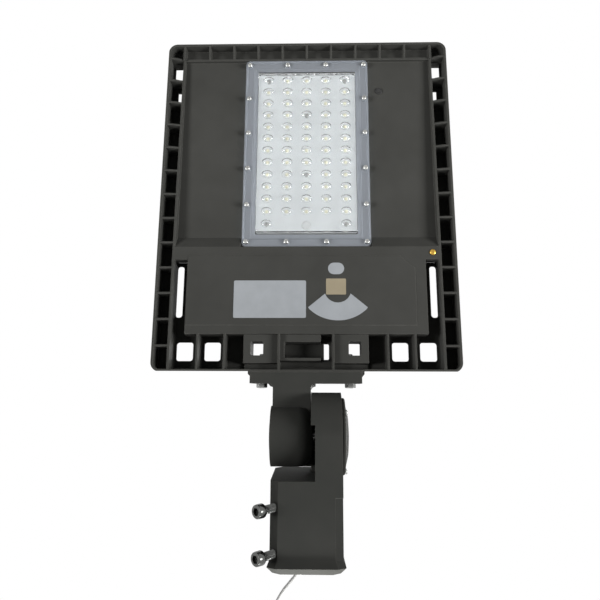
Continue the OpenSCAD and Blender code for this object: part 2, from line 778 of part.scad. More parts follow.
module cable_gland() {
    color(dark_grey) translate([head_x + gland_x, gland_y, gland_z]) difference() {
        union() {
            translate([0, 0, -9]) cylinder(h = 9, r = 10.5, $fn = 6);
            translate([0, 0, -13]) cylinder(h = 4.5, r = 8.5);
            cylinder(h = box_wall + 5.5, r = gland_r);
        }
        translate([0, 0, -14]) cylinder(h = box_wall + 22, r = cable_d / 2 + 0.3);
    }
}

module gland_nut() {
    color(dark_grey) translate([head_x + gland_x, gland_y, gland_z + box_wall]) difference() {
        cylinder(h = 4.5, r = 11, $fn = 6);
        translate([0, 0, -past]) cylinder(h = 7, r = gland_r + 0.1);
    }
}

function at_head(p) = [for (q = p) q + [head_x, 0, base_z]];

// Three leads from the terminal block to the driver's input end
module mains_leads() {
    for (i = [0:2]) {
        color(["saddlebrown", "royalblue", "limegreen"][i]) tube(at_head([
            [terminal_x[0] + 7 + 11 * i, cavity_y + 8, terminal_h[1] + 0.3],
            [terminal_x[0] + 7 + 11 * i, cavity_y + 8, terminal_h[1] + 5],
            [terminal_x[0] + 2 + 9 * i, cavity_y + 11, terminal_h[1] + 9 + 2 * i],
            [driver_x[1] + 7, cavity_y + 15 + 2 * i, driver_h[0] + 7 + 5 * i],
            [driver_x[1] + 3, cavity_y + 15 + 2 * i, driver_h[0] + 7 + 5 * i],
            [driver_x[1] + 0.4, cavity_y + 15 + 2 * i, driver_h[0] + 7 + 5 * i]
        ]), core_r, 8, 2);
    }
}

// Two leads from the driver's output side, up the drilling and out onto the board
module led_leads() {
    for (i = [-1, 1]) {
        color(i < 0 ? "black" : "red") tube(at_head([
            [1.8 * i, lead_y, driver_h[1] + 0.5],
            [1.8 * i, lead_y, driver_h[1] + 9],
            [1.8 * i, lead_y, lead_h - 12],
            [1.8 * i, lead_y - 1, lead_h - 4],
            [1.8 * i, lead_y - 5, lead_h],
            [1.8 * i, board_y + 2, lead_h],
            [1.8 * i, board_y + 0.3, lead_h]
        ]), 0.9, 8, 2);
    }
}

module lid_outline(y0, y1, inset) {
    head_plate(0, (end_row_h + box_top_h) / 2, 2 * (box_x - inset), box_h - 2 * inset, 3, y0, y1);
}

module lid_gasket() {
    color(rubber_black) difference() {
        lid_outline(box_back_y, lid_y, 0.3);
        difference() {
            lid_outline(box_back_y - past, lid_y + past, box_wall);
            for (p = lid_bosses) head_bar(p[0], p[1], box_back_y - 2 * past, lid_y + 2 * past, boss_r);
        }
        for (p = lid_bosses) head_bar(p[0], p[1], box_back_y - past, lid_y + past, m4_r + 0.3);
    }
}

module driver_lid() {
    color(cast_grey) difference() {
        lid_outline(lid_y, lid_y + lid_t, 0);
        for (p = lid_bosses) head_bar(p[0], p[1], lid_y - past, lid_y + lid_t + past, m4_r + 0.3);
    }
}

module lid_screws() {
    color(steel_grey) for (p = lid_bosses) {
        head_bar(p[0], p[1], box_back_y - 8, lid_y + lid_t, m4_r);
        difference() {
            head_bar(p[0], p[1], lid_y + lid_t, lid_y + lid_t + m4_head_t, m4_head_r);
            head_bar(p[0], p[1], lid_y + lid_t + 1.2, lid_y + lid_t + 4, 1.5);
        }
    }
}

// Ring of teeth on the tilt axis; facing is +1 for teeth that rise along +X
module teeth(x, facing) {
    for (i = [0:tooth_count - 1]) {
        translate([x, pivot_y, pivot_h]) rotate([i * 360 / tooth_count, 0, 0]) {
            translate([facing > 0 ? -past : -tooth_h, tooth_r0 + 0.4, -0.7]) {
                cube([tooth_h + past, tooth_r1 - tooth_r0 - 0.8, 1.4]);
            }
        }
    }
}

module barrel_solid() {
    translate([barrel_x0, pivot_y, pivot_h]) rotate([0, 90, 0]) rotate_extrude($fn = 96) {
        square([barrel_r, barrel_l - barrel_round]);
        square([barrel_r - barrel_round, barrel_l]);
        translate([barrel_r - barrel_round, barrel_l - barrel_round]) circle(r = barrel_round);
    }
    // The rear half keeps its square end
    intersection() {
        axle_bar(barrel_x0, barrel_x1, barrel_r);
        span([barrel_x0, barrel_x1], [pivot_y + 2, pivot_y + barrel_r], [pivot_h - barrel_r, pivot_h + barrel_r]);
    }
}

plug_x = barrel_x0 + 3;
cavity_r = 21;

// Rounded corners between the neck and the plate
module neck_fillets() {
    for (s = [[neck_x0, -1], [neck_x1, 1]]) {
        translate([s[0], arm_front_y, plate_edge_z]) mirror([s[1] < 0 ? 1 : 0, 0, 0]) rotate([-90, 0, 0]) {
            linear_extrude(pivot_y + neck_d - arm_front_y) difference() {
                translate([-past, -plate_slope]) square([neck_fillet + past, neck_fillet + plate_slope]);
                translate([neck_fillet, neck_fillet]) circle(r = neck_fillet);
            }
        }
    }
}

module mount_arm() {
    color(cast_grey) difference() {
        union() {
            push_x([head_x - arm_plate_w / 2, head_x + arm_plate_w / 2], [
                [arm_front_y, plate_edge_z], [arm_front_y, base_z], [pad_back_y, base_z],
                [pad_back_y, plate_edge_z + plate_slope]
            ]);
            span([neck_x0, neck_x1], [arm_front_y, pivot_y + neck_d], [pivot_h, plate_edge_z + plate_slope]);
            neck_fillets();
            barrel_solid();
            teeth(barrel_x1, 1);
            axle_bar(barrel_x1 - past, barrel_x1 + 0.2, tooth_r1);
        }
        // Hollow for the cable: the barrel, the neck and the plate
        axle_bar(barrel_x0 - past, barrel_x1 - barrel_web, cavity_r);
        axle_bar(barrel_x0 - past, plug_x, cavity_r + 3);
        axle_bar(barrel_x0, barrel_x1 + 3 * past, pivot_r + pivot_fit);
        span(neck_hole_x, neck_hole_y, [pivot_h, base_z - 6]);
        span(neck_hole_x, [neck_hole_y[0], neck_hole_y[1] + 3], [base_z - 14, base_z - 5.5]);
        span(pad_hole_x, [neck_hole_y[0], pad_hole_y[1]], [base_z - 6, base_z + past]);
        both_sides() translate([head_x + bolt_x, bolt_y, plate_edge_z - past]) cylinder(h = 20, r = m6_r + 0.3);
        both_sides() translate([head_x + bolt_x, bolt_y, plate_edge_z - past]) {
            cylinder(h = seat_z - plate_edge_z + past, r = 7.5);
        }
    }
}

module arm_washers() {
    color(steel_grey) both_sides() translate([head_x + bolt_x, bolt_y, seat_z - washer_t]) difference() {
        cylinder(h = washer_t, r = washer_r);
        translate([0, 0, -past]) cylinder(h = washer_t + 2 * past, r = m6_r + 0.2);
    }
}

module arm_bolts() {
    color(steel_grey) both_sides() translate([head_x + bolt_x, bolt_y, seat_z - washer_t]) {
        translate([0, 0, -m6_head_t]) cylinder(h = m6_head_t, r = m6_head_r, $fn = 6);
        cylinder(h = base_z - seat_z + washer_t + block_window_h[0] + bolt_end, r = m6_r);
    }
}

module barrel_plug() {
    color(cast_grey) translate([plug_x, pivot_y, pivot_h]) rotate([0, -90, 0]) rotate_extrude($fn = 96) {
        polygon([[0, 0], [cavity_r + 2.9, 0], [cavity_r + 2.9, 3], [cavity_r - 4, 4.2], [0, 4.4]]);
    }
}

module head_lead() {
    color(pale) tube(head_route, cable_d / 2, 10, 2);
}

// Outline of the fitter's body, grown by a step, with its corners cut off
module body_outline(grow, front_right) {
    x = body_x + grow;
    y0 = body_y0 - grow;
    y1 = body_y1 + grow;
    polygon([
        [-x + chamfer, y0], [x - front_right, y0], [x, y0 + front_right], [x, y1 - chamfer],
        [x - chamfer, y1], [-x + chamfer, y1], [-x, y1 - chamfer], [-x, y0 + chamfer]
    ]);
}

module body_slice(h, grow, t) {
    translate([0, 0, h]) linear_extrude(t) body_outline(grow, chamfer);
}

module body_solid() {
    shoulder_back = shoulder_h + shoulder_rise;
    difference() {
        translate([0, 0, flare_h0]) linear_extrude(shoulder_back - flare_h0) body_outline(0, 0.5);
        // The shoulder falls towards the front
        push_x([-body_x - past, ear_x0 + past], [
            [body_y0 - past, shoulder_h], [body_y1 + past, shoulder_back + 0.1], [body_y0 - past, shoulder_back + 5]
        ]);
        // Chamfer of the right front corner, which starts below the ear
        translate([body_x, body_y0, -past]) rotate([0, 0, 45]) {
            cube([2 * chamfer, chamfer * sqrt(2), 2 * 67], center = true);
        }
    }
    hull() {
        body_slice(flare_h0, 0, 0.01);
        body_slice(flare_h1, flare, 0.01);
    }
    hull() {
        body_slice(flare_h1, flare, 0.01);
        body_slice(0, -lip_in, 0.01);
    }
}

// Raised rim of the ear, above and behind the barrel's end
module ear_rim() {
    rim_x = neck_x1 + clear;
    difference() {
        axle_bar(rim_x, ear_x0 + past, ear_r);
        axle_bar(rim_x - past, ear_x0 + 2 * past, barrel_r + rim_gap);
        span([rim_x - past, ear_x0 + 2 * past], [pivot_y - ear_r - past, pivot_y + 12], [0, pivot_h + 10]);
        span([rim_x - past, ear_x0 + 2 * past], [pivot_y - ear_r - past, pivot_y + ear_r + past],
            [0, shoulder_h + 5]);
    }
}

// Shape of the ear: a disc on the tilt axis with a web down to the body
module ear_solid() {
    ear_rim();
    axle_bar(ear_x0, ear_x1, ear_r);
    span([ear_x0, ear_x1], [body_y0, body_y1], [shoulder_h - past, pivot_h]);
}

// Frame of a clamp screw: its Z axis runs outward, away from the pole
module clamp_frame(h) {
    translate([0, 0, h]) rotate([0, 0, clamp_turn]) rotate([0, 90 + clamp_tilt, 0]) children();
}

cap_screw_r = 34.5;
cap_screw_turns = [20, 140, 260];

module cap_screw_frame(a) {
    translate([0, pivot_y, pivot_h]) rotate([a, 0, 0]) translate([0, cap_screw_r, 0]) rotate([0, 90, 0]) children();
}

module channel() {
    from = fitter_route[0];
    to = fitter_route[5] + [1.3, -0.6, 5];
    run = to - from;
    lean = acos(run[2] / norm(run));
    turn = atan2(run[1], run[0]);
    translate(from) rotate([0, lean, turn]) translate([0, 0, -2 * channel_r]) {
        cylinder(h = norm(run) + 2 * channel_r, r = channel_r);
    }
}

module slip_fitter() {
    color(cast_grey) difference() {
        union() {
            body_solid();
            ear_solid();
            axle_bar(ear_x0 - 0.2, ear_x0 + past, tooth_r1);
            teeth(ear_x0 - 0.2, -1);
        }
        translate([0, 0, -past]) cylinder(h = bore_l + past, r = bore_r, $fn = 96);
        channel();
        axle_bar(chamber_x, ear_x1 + past, chamber_r);
        axle_bar(ear_x0 - 3, chamber_x + past, pivot_r + 0.2);
        for (h = [lower_clamp_h, upper_clamp_h]) {
            clamp_frame(h) translate([0, 0, bore_r - 4]) cylinder(h = 40, r = clamp_r + 0.06);
        }
        for (a = cap_screw_turns) cap_screw_frame(a) translate([0, 0, ear_x1 - 10]) cylinder(h = 12, r = 1.6);
    }
}

module pivot_bolt() {
    color(steel_grey) difference() {
        union() {
            translate([chamber_x, pivot_y, pivot_h]) rotate([0, 90, 0]) cylinder(h = pivot_head_t, r = 15, $fn = 6);
            axle_bar(barrel_x1 - barrel_web - clear - pivot_washer_t - pivot_nut_t - 2, chamber_x + past, pivot_r);
        }
        axle_bar(barrel_x0, ear_x1, pivot_bore_r);
    }
}

washer_x = barrel_x1 - barrel_web - clear;

module pivot_washer() {
    color(steel_grey) difference() {
        axle_bar(washer_x - pivot_washer_t, washer_x, 16);
        axle_bar(washer_x - pivot_washer_t - past, washer_x + past, pivot_r + 0.2);
    }
}

module pivot_nut() {
    nut_x = washer_x - pivot_washer_t;
    color(steel_grey) difference() {
        translate([nut_x - pivot_nut_t, pivot_y, pivot_h]) rotate([0, 90, 0]) cylinder(h = pivot_nut_t, r = 16, $fn = 6);
        axle_bar(nut_x - pivot_nut_t - past, nut_x + past, pivot_r + 0.1);
    }
}

module fitter_lead() {
    color(pale) tube(fitter_route, cable_d / 2, 10, 2);
}

cap_gasket_t = 1;
cap_x = ear_x1 + cap_gasket_t;

module cap_gasket() {
    color(rubber_black) difference() {
        axle_bar(ear_x1, cap_x, cap_r - 0.5);
        axle_bar(ear_x1 - past, cap_x + past, chamber_r);
        for (a = cap_screw_turns) cap_screw_frame(a) translate([0, 0, ear_x1 - past]) cylinder(h = 3, r = 1.8);
    }
}

// Cap with a flat rim and a low dome, hollow behind
module wiring_cap() {
    color(dark_grey) difference() {
        translate([cap_x, pivot_y, pivot_h]) rotate([0, 90, 0]) rotate_extrude($fn = 96) {
            polygon([
                [0, 5.2], [chamber_r - 2, 2], [chamber_r, 0], [cap_r, 0], [cap_r, 1.6], [cap_r - 1, 2.6],
                [chamber_r + 1, 3.2], [20, 5.8], [0, 7.2]
            ]);
        }
        for (a = cap_screw_turns) cap_screw_frame(a) translate([0, 0, ear_x1]) cylinder(h = 9, r = 1.8);
    }
}

module cap_screws() {
    color(steel_grey) for (a = cap_screw_turns) cap_screw_frame(a) {
        translate([0, 0, ear_x1 - 7]) cylinder(h = 11.4, r = 1.5);
        translate([0, 0, cap_x + 3.1]) cylinder(h = 1.8, r = 2.8);
    }
}

// A socket-head screw in the fitter's corner, backed off from the pole
module clamp_screw(h) {
    color(steel_grey) clamp_frame(h) difference() {
        union() {
            translate([0, 0, clamp_tip]) cylinder(h = clamp_shank, r = clamp_r);
            translate([0, 0, clamp_tip + clamp_shank]) cylinder(h = 8, r = 6.5);
        }
        translate([0, 0, clamp_tip + clamp_shank + 4]) cylinder(h = 5, r = 3.5, $fn = 6);
    }
}

module upper_clamp_screw() {
    clamp_screw(upper_clamp_h);
}

module lower_clamp_screw() {
    clamp_screw(lower_clamp_h);
}

module supply_cable() {
    color(pale) tube(free_route, cable_d / 2, 10, 2);
}

// Bare end of the cable: three cores that fan out a little
module cable_cores() {
    end = free_route[len(free_route) - 1];
    for (i = [0:2]) {
        a = 120 * i;
        out = [cos(a), sin(a), 0];
        color(["saddlebrown", "royalblue", "limegreen"][i]) tube([
            end + 1.9 * out - [0, 0, 0.2], end + 2.1 * out - [0, 0, core_l / 2], end + 3.5 * out - [0, 0, core_l]
        ], core_r, 8, 2);
    }
}

housing();
thermal_pad();
led_board();
leds();
lens_gasket();
lens_cover();
lens_screws();
breather_vent();
earth_screw();
rating_label();
oval_badge();
gold_label();
fan_label();
driver();
driver_screws();
surge_protector();
terminal_block();
cable_gland();
gland_nut();
mains_leads();
led_leads();
lid_gasket();
driver_lid();
lid_screws();
mount_arm();
arm_bolts();
arm_washers();
barrel_plug();
head_lead();
slip_fitter();
pivot_bolt();
pivot_washer();
pivot_nut();
fitter_lead();
cap_gasket();
wiring_cap();
cap_screws();
upper_clamp_screw();
lower_clamp_screw();
supply_cable();
cable_cores();
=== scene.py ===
import math

import bmesh
import bpy
from mathutils import Matrix, Vector


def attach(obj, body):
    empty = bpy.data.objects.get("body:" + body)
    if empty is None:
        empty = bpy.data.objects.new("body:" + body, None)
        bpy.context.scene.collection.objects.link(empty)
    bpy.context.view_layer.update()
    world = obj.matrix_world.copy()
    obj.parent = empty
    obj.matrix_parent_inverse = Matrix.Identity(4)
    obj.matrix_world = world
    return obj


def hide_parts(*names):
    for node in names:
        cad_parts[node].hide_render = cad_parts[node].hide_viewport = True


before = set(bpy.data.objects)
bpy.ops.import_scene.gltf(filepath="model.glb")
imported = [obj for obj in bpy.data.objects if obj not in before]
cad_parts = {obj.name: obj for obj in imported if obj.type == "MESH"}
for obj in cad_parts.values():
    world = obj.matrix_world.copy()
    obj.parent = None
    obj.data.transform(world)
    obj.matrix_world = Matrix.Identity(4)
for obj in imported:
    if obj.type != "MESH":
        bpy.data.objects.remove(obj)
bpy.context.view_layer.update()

# A shoebox area light on its slip fitter. The frame's origin is the middle of the fitter's mouth,
# +Z runs up the pole and the lit face looks along -Y. Sizes are written in millimetres.
MM = 0.001
HEAD_X, BASE_Z = -1.5, 185.5          # the head's middle and its lower end
TILT_Y, TILT_Z = 9, 122               # the tilt axis runs along X


# ---------------------------------------------------------------- camera, at the photo's viewing angle

def place_camera(eye, pitch, yaw, roll):
    """A camera at eye, in millimetres. Pitch looks up, yaw turns to the left and roll leans, in radians."""
    back = Vector((math.sin(yaw) * math.cos(pitch), -math.cos(yaw) * math.cos(pitch), math.sin(pitch)))
    right = Vector((0, 0, 1)).cross(back).normalized()
    up = back.cross(right)
    turned_right = right * math.cos(roll) + up * math.sin(roll)
    turned_up = up * math.cos(roll) - right * math.sin(roll)
    view = Matrix((turned_right, turned_up, back)).transposed().to_4x4()
    view.translation = Vector(eye) * MM
    camera = bpy.data.objects.new("camera", bpy.data.cameras.new("camera"))
    camera.data.sensor_width = 36
    camera.data.lens = 36
    camera.matrix_world = view
    bpy.context.scene.collection.objects.link(camera)
    bpy.context.scene.camera = camera


place_camera((6.72, -613.31, 120.57), -0.22510, 0.023681, 0.0052086)


# ---------------------------------------------------------------- materials

def paint(code):
    """A colour written as an sRGB hex value, as the linear colour that a shader reads."""
    shares = [int(code[i:i + 2], 16) / 255 for i in (0, 2, 4)]
    return [s / 12.92 if s <= 0.04045 else ((s + 0.055) / 1.055) ** 2.4 for s in shares] + [1]


def add(tree, kind, feeds=None, **settings):
    """One node, with its settings, and its inputs fed by a value or by another node's socket."""
    node = tree.nodes.new(kind)
    for name, value in settings.items():
        setattr(node, name, value)
    for name, value in (feeds or {}).items():
        if isinstance(value, bpy.types.NodeSocket):
            tree.links.new(value, node.inputs[name])
        else:
            node.inputs[name].default_value = value
    return node


def finish(name, **constants):
    """A material with one Principled shader, whose plain values are set on the shader's own sockets."""
    material = bpy.data.materials.new(name)
    material.use_nodes = True
    tree = material.node_tree
    tree.nodes.clear()
    shader = add(tree, "ShaderNodeBsdfPrincipled", {k.replace("_", " "): v for k, v in constants.items()})
    add(tree, "ShaderNodeOutputMaterial", {"Surface": shader.outputs[0]})
    return material, tree, shader


def where(tree):
    """The place on the object, in metres, that every pattern is laid on."""
    return add(tree, "ShaderNodeTexCoord").outputs["Object"]


def grain(tree, size_mm, detail=3, rough=0.6):
    """Noise whose lumps are about size_mm across."""
    return add(tree, "ShaderNodeTexNoise", {"Vector": where(tree), "Scale": 1 / (size_mm * MM),
                                            "Detail": detail, "Roughness": rough}).outputs[0]


def spread(tree, source, low, high):
    """Maps a pattern's middle range to the range from low to high."""
    return add(tree, "ShaderNodeMapRange", {"Value": source, "From Min": 0.3, "From Max": 0.7,
                                            "To Min": low, "To Max": high}).outputs[0]


def blended(tree, share, one, other):
    """Two colours, mixed by a pattern."""
    node = add(tree, "ShaderNodeMix", {0: share, 6: one, 7: other}, data_type="RGBA")
    return node.outputs[2]


def powder_coat(name, main, light, edge_mm, grain_mm):
    """Polyester powder coat on a die casting: a fine orange-peel skin, with a painted highlight laid on as
    a lighter colour along the rounded edges and fillets, mixed with some wear. The real peel is about 0.5
    mm; it is drawn coarser so that it shows."""
    material, tree, shader = finish(name, Specular_IOR_Level=0.08)
    rounded = add(tree, "ShaderNodeBevel", {"Radius": edge_mm * MM}, samples=6).outputs[0]
    flat = add(tree, "ShaderNodeNewGeometry").outputs["Normal"]
    facing = add(tree, "ShaderNodeVectorMath", {0: rounded, 1: flat}, operation="DOT_PRODUCT")
    # Painted highlight, partly wear: where the rounded normal turns away from the flat one, edges and
    # fillets get the lighter colour 7A7974.
    edge = add(tree, "ShaderNodeMapRange", {"Value": facing.outputs["Value"], "From Min": 0.995,
                                            "From Max": 0.86, "To Min": 0, "To Max": 0.55}).outputs[0]
    wear_and_painted_highlight = add(tree, "ShaderNodeMath", {0: edge, 1: spread(tree, grain(tree, 6), 0.35, 1)},
               operation="MULTIPLY").outputs[0]
    cloud = blended(tree, spread(tree, grain(tree, 45, 2), 0, 1), paint(main), paint(light))
    tree.links.new(blended(tree, wear_and_painted_highlight, cloud, paint("7A7974")), shader.inputs["Base Color"])
    skin = grain(tree, grain_mm, 2, 0.5)
    tree.links.new(spread(tree, skin, 0.72, 0.85), shader.inputs["Roughness"])
    bump = add(tree, "ShaderNodeBump",
               {"Strength": 0.35, "Distance": 0.12 * MM, "Height": skin, "Normal": rounded})
    tree.links.new(bump.outputs[0], shader.inputs["Normal"])
    return material


def machined_metal(name, colour, low, high, mark_mm, bump_mm=0.03, edge_mm=0.25):
    """Machined, plated or brushed metal: full metal with fine tool marks and uneven gloss."""
    material, tree, shader = finish(name, Metallic=1.0)
    marks = grain(tree, mark_mm, 4)
    tree.links.new(spread(tree, marks, low, high), shader.inputs["Roughness"])
    shade = paint(colour)
    dull = [c * 0.72 for c in shade[:3]] + [1]
    patchy = blended(tree, spread(tree, grain(tree, 4), 0, 1), shade, dull)
    tree.links.new(patchy, shader.inputs["Base Color"])
    rounded = add(tree, "ShaderNodeBevel", {"Radius": edge_mm * MM}, samples=4).outputs[0]
    bump = add(tree, "ShaderNodeBump",
               {"Strength": 0.4, "Distance": bump_mm * MM, "Height": marks, "Normal": rounded})
    tree.links.new(bump.outputs[0], shader.inputs["Normal"])
    return material


def moulded(name, colour, low, high, grain_mm, **constants):
    """A moulded plastic, rubber or resin skin: one colour with a slight cloud, and an even fine texture."""
    material, tree, shader = finish(name, **constants)
    shade = paint(colour)
    pale = [min(1, c * 1.12) for c in shade[:3]] + [1]
    skin = grain(tree, grain_mm, 2)
    cloud = blended(tree, spread(tree, grain(tree, 20), 0, 1), shade, pale)
    tree.links.new(cloud, shader.inputs["Base Color"])
    tree.links.new(spread(tree, skin, low, high), shader.inputs["Roughness"])
    bump = add(tree, "ShaderNodeBump", {"Strength": 0.2, "Distance": 0.05 * MM, "Height": skin})
    tree.links.new(bump.outputs[0], shader.inputs["Normal"])
    return material


def see_through(name, colour, rough, **constants):
    """Clear polycarbonate: IOR 1.585. Lamps reach through it, so that the board below is lit."""
    material, tree, shader = finish(name, Base_Color=paint(colour), Roughness=rough, IOR=1.585, **constants)
    ripple = add(tree, "ShaderNodeBump",
                 {"Strength": 0.15, "Distance": 0.05 * MM, "Height": grain(tree, 7, 1)})
    tree.links.new(ripple.outputs[0], shader.inputs["Normal"])
    shadow = add(tree, "ShaderNodeLightPath").outputs["Is Shadow Ray"]
    clear = add(tree, "ShaderNodeBsdfTransparent", {"Color": paint("F1F2F3")})
    mixed = add(tree, "ShaderNodeMixShader", {0: shadow, 1: shader.outputs[0], 2: clear.outputs[0]})
    output = next(n for n in tree.nodes if n.type == "OUTPUT_MATERIAL")
    tree.links.new(mixed.outputs[0], output.inputs["Surface"])
    return material


# Die-cast aluminium under dark bronze-grey powder coat: satin, with a fine peel.
housing_coat = powder_coat("powder_coated_die_cast_aluminium", "474744", "4D4D4A", 1.1, 1.6)
# The same coat on the heavier bracket castings, whose edges are rounder. Its colour is painted darker than
# the housing's, as shade for the weaker light on the lower parts.
darker_painted_bracket_coat = powder_coat("powder_coated_bracket_casting_painted_darker", "424340", "484845", 1.0, 1.9)
# Stainless steel screws, turned and plain: bright with soft tool marks.
stainless = machined_metal("stainless_steel_screws", "C6C7C4", 0.16, 0.34, 1.2)
# Nickel-plated alloy steel of the clamp screws: darker and glossier.
nickel = machined_metal("nickel_plated_socket_screws", "6A6B69", 0.10, 0.24, 1.5)
# Zinc-plated steel of bolts, washers and nuts: greyer and duller.
zinc = machined_metal("zinc_plated_steel", "9C9D9B", 0.28, 0.46, 1.4)
# Brass of the earth screw: yellow and slightly tarnished.
brass = machined_metal("brass_earth_screw", "C9A24C", 0.22, 0.4, 1.2)
# Bare aluminium of the driver's case: extruded, with a dull sheen.
bare_aluminium = machined_metal("extruded_aluminium_case", "B9BBBD", 0.35, 0.5, 2.5)
# Copper strands at the cable's end.
copper = machined_metal("copper_strands", "C87A4F", 0.25, 0.4, 0.8)
# Solder-resist white of the LED board: a smooth baked lacquer.
board_white = moulded("white_solder_resist_board", "AFB2B3", 0.3, 0.42, 2.0)
# White ceramic LED package and its phosphor: matt, pale yellow.
package_white = moulded("white_ceramic_led_package", "B3B5B2", 0.35, 0.5, 1.0)
phosphor = moulded("silicone_phosphor_over_led_chip", "BEBBA3", 0.25, 0.4, 1.0, Coat_Weight=0.6)
# Clear moulded polycarbonate of the lens window, and the slightly frosted one of its flange.
clear_lens = see_through("clear_moulded_polycarbonate", "F8F9F9", 0.05, Transmission_Weight=1.0)
frosted_lens = see_through("frosted_polycarbonate_flange", "A9AEB5", 0.3, Transmission_Weight=0.62)
# Silicone gaskets: matt and slightly dusty.
white_silicone = moulded("white_silicone_gasket", "A6A8A8", 0.5, 0.65, 1.2)
black_silicone = moulded("black_silicone_gasket", "1E1E1E", 0.55, 0.7, 1.2)
# Thermal pad: soft grey filled silicone.
pad_grey = moulded("filled_silicone_thermal_pad", "8B8E90", 0.6, 0.75, 1.5)
# Glass-filled nylon of gland, vent and terminal block.
black_nylon = moulded("glass_filled_black_nylon", "232322", 0.4, 0.55, 0.9)
white_nylon = moulded("natural_nylon_terminal_block", "CFCDC2", 0.4, 0.5, 0.9)
surge_resin = moulded("potted_surge_protector_case", "BFC3C4", 0.4, 0.5, 1.2)
# Metallised polyester labels: silver-white film and a gold one, satin and quite flat.
label_film = moulded("silver_white_polyester_label", "A9ADB1", 0.5, 0.62, 1.4, Specular_IOR_Level=0.3)
gold_film = moulded("gold_metallised_label", "9A8F78", 0.42, 0.55, 1.4, Metallic=0.35)
# PVC sheath of the supply cable: pale grey, slightly glossy.
sheath_grey = moulded("pale_grey_pvc_sheath", "C9C9C7", 0.35, 0.48, 1.6)
brown_pvc = moulded("brown_pvc_core", "5B3A25", 0.35, 0.5, 1.0)
blue_pvc = moulded("blue_pvc_core", "2B5BA8", 0.35, 0.5, 1.0)
green_pvc = moulded("green_yellow_pvc_core", "5E9A3A", 0.35, 0.5, 1.0)


def dress(material, *nodes):
    """Gives CAD nodes their finish, on the object's own slots."""
    for node in nodes:
        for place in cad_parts[node].material_slots:
            place.material = material


dress(housing_coat, "housing", "driver_lid")
dress(darker_painted_bracket_coat, "mount_arm", "barrel_plug", "slip_fitter", "wiring_cap")
dress(stainless, "driver_screws", "cap_screws", "lid_screws", "lens_screws")
dress(zinc, "arm_bolts", "arm_washers", "pivot_bolt", "pivot_washer", "pivot_nut")
dress(nickel, "upper_clamp_screw", "lower_clamp_screw")
dress(brass, "earth_screw")
dress(bare_aluminium, "driver")
dress(board_white, "led_board")
dress(package_white, "leds")
dress(clear_lens, "lens_cover")
dress(white_silicone, "lens_gasket")
dress(black_silicone, "lid_gasket", "cap_gasket")
dress(pad_grey, "thermal_pad")
dress(black_nylon, "cable_gland", "gland_nut", "breather_vent")
dress(white_nylon, "terminal_block")
dress(surge_resin, "surge_protector")
dress(label_film, "rating_label", "oval_badge", "fan_label")
dress(gold_film, "gold_label")
dress(sheath_grey, "head_lead", "fitter_lead", "supply_cable")
dress(brown_pvc, "mains_leads", "cable_cores")
dress(blue_pvc, "led_leads")


# ---------------------------------------------------------------- making pieces

def piece(name, bm, body, materials, stands_for=(), sharp=35, placed=None):
    """A finished mesh in the frame, in metres, riding on its body."""
    if placed is not None:
        bmesh.ops.transform(bm, matrix=placed, verts=bm.verts)
    bmesh.ops.remove_doubles(bm, verts=bm.verts, dist=0.002)
    bmesh.ops.recalc_face_normals(bm, faces=bm.faces)
    bmesh.ops.scale(bm, vec=(MM, MM, MM), verts=bm.verts)
    mesh = bpy.data.meshes.new(name)
    bm.to_mesh(mesh)
    bm.free()
    mesh.shade_smooth()
    mesh.set_sharp_from_angle(angle=math.radians(sharp))
    for material in materials:
        mesh.materials.append(material)
    made = bpy.data.objects.new(name, mesh)
    bpy.context.scene.collection.objects.link(made)
    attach(made, body)
    if stands_for:
        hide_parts(*stands_for)
    return made


def looking_out(x, y, h):
    """A place on the lit face: its Z axis points out of the face, along -Y."""
    return Matrix.Translation((HEAD_X + x, y, BASE_Z + h)) @ Matrix.Rotation(math.radians(90), 4, "X")


def looking_back(x, y, h):
    """A place on the rear: its Z axis points back, along +Y."""
    return Matrix.Translation((HEAD_X + x, y, BASE_Z + h)) @ Matrix.Rotation(math.radians(-90), 4, "X")


def turned(bm, profile, steps=24, place=Matrix()):
    """A profile of (radius, height) spun about Z. Returns its vertices."""
    points = [bm.verts.new((r, 0, z)) for r, z in profile]
    edges = [bm.edges.new(pair) for pair in zip(points, points[1:])]
    before = set(bm.verts) - set(points)
    bmesh.ops.spin(bm, geom=points + edges, cent=(0, 0, 0), axis=(0, 0, 1), angle=math.tau, steps=steps,
                   use_merge=True)
    made = [v for v in bm.verts if v not in before]
    bmesh.ops.remove_doubles(bm, verts=made, dist=0.002)
    made = [v for v in bm.verts if v not in before]
    bmesh.ops.transform(bm, matrix=place, verts=made)
    return made


def socket(bm, ring_r, hex_r, top, depth, steps, place=Matrix()):
    """The flat top of a screw head, from its outer ring to a hexagonal socket with a floor."""
    before = set(bm.verts)
    ring = bmesh.ops.create_circle(bm, segments=steps, radius=ring_r, cap_ends=False)["verts"]
    hexagon = bmesh.ops.create_circle(bm, segments=6, radius=hex_r, cap_ends=False)["verts"]
    new = set(bm.verts) - before
    edges = [e for e in bm.edges if e.verts[0] in new]
    bmesh.ops.bridge_loops(bm, edges=edges)
    bmesh.ops.translate(bm, vec=(0, 0, top), verts=ring + hexagon)
    rim = [e for e in bm.edges if e.verts[0] in hexagon and e.verts[1] in hexagon]
    wall = bmesh.ops.extrude_edge_only(bm, edges=rim)["geom"]
    low = [v for v in wall if isinstance(v, bmesh.types.BMVert)]
    bmesh.ops.translate(bm, vec=(0, 0, -depth), verts=low)
    bmesh.ops.contextual_create(bm, geom=[e for e in wall if isinstance(e, bmesh.types.BMEdge)
                                          and e.verts[0] in low and e.verts[1] in low])
    bmesh.ops.transform(bm, matrix=place, verts=[v for v in bm.verts if v not in before])


# ---------------------------------------------------------------- the free cable

